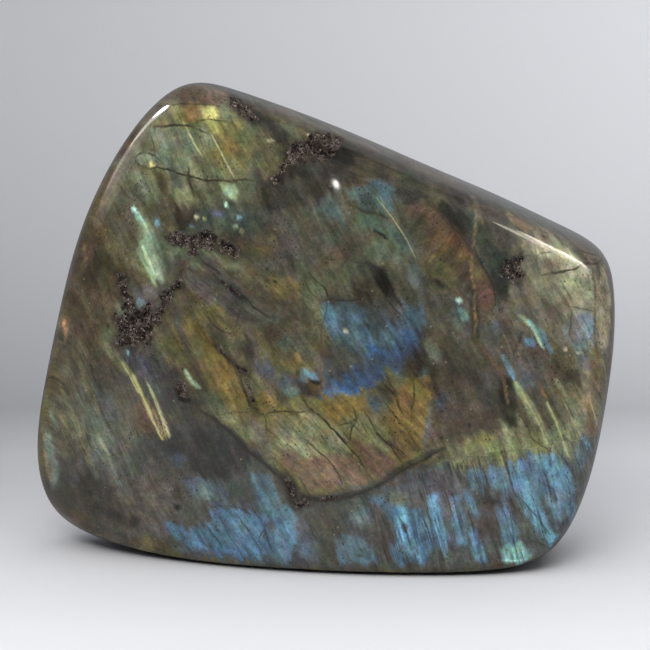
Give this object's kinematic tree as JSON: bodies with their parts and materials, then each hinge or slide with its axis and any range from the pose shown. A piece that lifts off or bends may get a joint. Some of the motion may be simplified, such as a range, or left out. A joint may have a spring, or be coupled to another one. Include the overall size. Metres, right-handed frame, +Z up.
{
  "type": "polished labradorite freeform stone",
  "caption": "Upright polished freeform of labradorite on a flat cut base, with a domed front face, rolled edges and small rough pits.",
  "frame": {"origin": "on the base's plane, under the middle of the stone's box", "axes": "+Z up from the base, +X along the stone's width to its low shoulder, the polished front face looks along -Y"},
  "size_m": [0.1528, 0.052, 0.1239],
  "materials": {
    "labradorite": "polished, grey-green with blue, green and gold flashes"
  },
  "bodies": {
    "root": {"labradorite_stone": "labradorite"}
  },
  "joints": []
}
